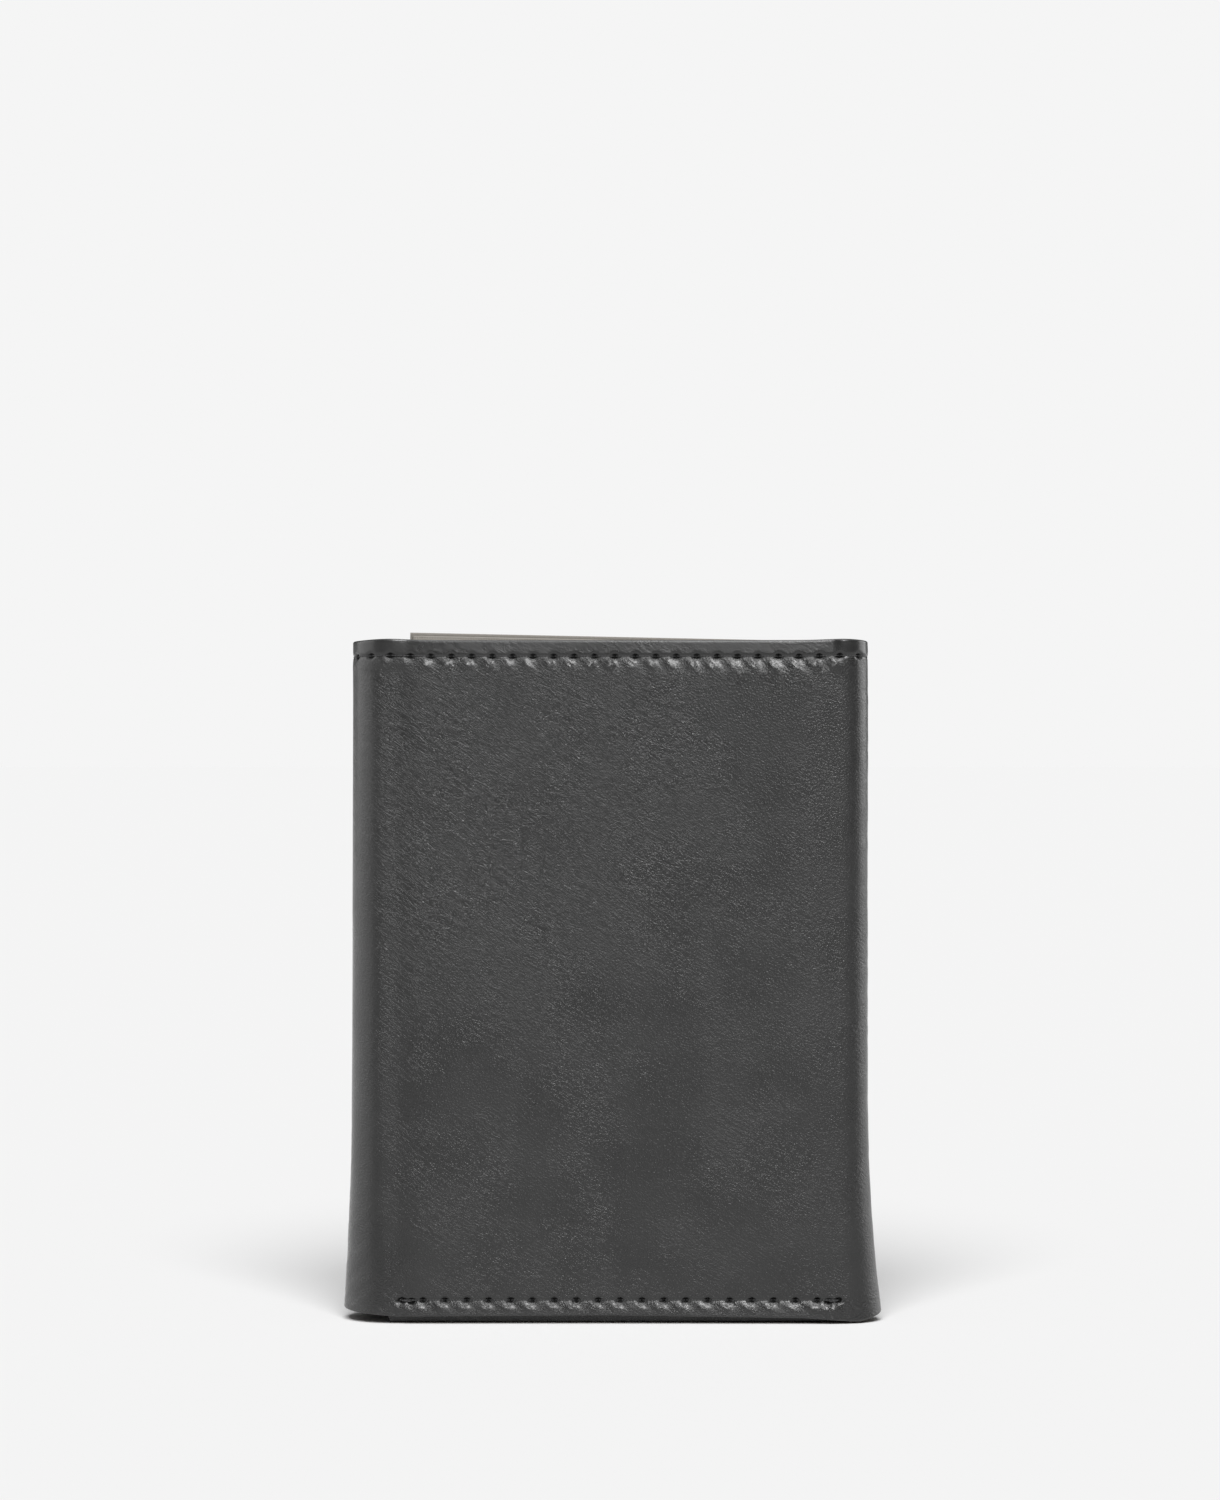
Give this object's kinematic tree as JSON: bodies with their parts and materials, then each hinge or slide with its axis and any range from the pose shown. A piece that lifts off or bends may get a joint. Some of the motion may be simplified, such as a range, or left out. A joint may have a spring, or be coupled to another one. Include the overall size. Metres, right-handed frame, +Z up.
{
  "type": "trifold wallet",
  "caption": "Closed black leather trifold wallet: one shell round two folds, lined note compartment, staggered upright card pockets and flaps that open.",
  "frame": {"origin": "at the bottom of the closed wallet, in the middle of its width and thickness", "axes": "+Z up along the folds, +X to the right seen from the centre panel's outside, +Y from the centre panel's outside to the outer flap's outside"},
  "size_m": [0.08, 0.0142, 0.1068],
  "materials": {
    "shell_leather": "semi-gloss fine-grained smooth leather",
    "pocket_leather": "satin fine-grained leather",
    "lining_fabric": "matt woven lining",
    "thread": "twisted black sewing thread"
  },
  "bodies": {
    "centre": {"card_pocket_centre_1": "pocket_leather", "card_pocket_centre_2": "pocket_leather", "card_pocket_centre_3": "pocket_leather", "inner_wall_centre": "pocket_leather", "lining_centre": "lining_fabric", "shell_centre": "shell_leather", "thread_bottom_centre": "thread", "thread_top_centre": "thread", "wall_thread_centre": "thread"},
    "left_spine": {"inner_wall_left_spine": "pocket_leather", "lining_left_spine": "lining_fabric", "shell_left_spine": "shell_leather", "thread_top_left_spine": "thread", "wall_thread_left_spine": "thread"},
    "outer_flap": {"card_pocket_outer_flap_1": "pocket_leather", "card_pocket_outer_flap_2": "pocket_leather", "card_pocket_outer_flap_3": "pocket_leather", "inner_wall_outer_flap": "pocket_leather", "lining_outer_flap": "lining_fabric", "shell_outer_flap": "shell_leather", "thread_bottom_outer_flap": "thread", "thread_side_outer_flap": "thread", "thread_top_outer_flap": "thread", "wall_thread_outer_flap": "thread"},
    "right_spine": {"inner_wall_right_spine": "pocket_leather", "lining_right_spine": "lining_fabric", "shell_right_spine": "shell_leather", "thread_top_right_spine": "thread", "wall_thread_right_spine": "thread"},
    "inner_flap": {"card_pocket_inner_flap_1": "pocket_leather", "card_pocket_inner_flap_2": "pocket_leather", "card_pocket_inner_flap_3": "pocket_leather", "inner_wall_inner_flap": "pocket_leather", "lining_inner_flap": "lining_fabric", "shell_inner_flap": "shell_leather", "thread_bottom_inner_flap": "thread", "thread_side_inner_flap": "thread", "thread_top_inner_flap": "thread", "wall_thread_inner_flap": "thread"}
  },
  "joints": [
    {"name": "left_fold_front_crease", "type": "hinge", "parent": "centre", "child": "left_spine", "pos_m": [-0.03847, -0.00562, 0.0525], "axis": [0, 0, 1], "range_deg": [0, 90]},
    {"name": "left_fold_rear_crease", "type": "hinge", "parent": "left_spine", "child": "outer_flap", "pos_m": [-0.03847, 0.00562, 0.0525], "axis": [0, 0, 1], "range_deg": [0, 90]},
    {"name": "right_fold_front_crease", "type": "hinge", "parent": "centre", "child": "right_spine", "pos_m": [0.03898, -0.00613, 0.0525], "axis": [0, 0, -1], "range_deg": [0, 90]},
    {"name": "right_fold_rear_crease", "type": "hinge", "parent": "right_spine", "child": "inner_flap", "pos_m": [0.03898, 0.00133, 0.0525], "axis": [0, 0, -1], "range_deg": [0, 90]}
  ],
  "couplings": [
    {"joint": "left_fold_rear_crease", "follows": "left_fold_front_crease", "ratio": 1},
    {"joint": "right_fold_front_crease", "follows": "left_fold_front_crease", "ratio": 0.15},
    {"joint": "right_fold_rear_crease", "follows": "left_fold_front_crease", "ratio": 0.15}
  ]
}
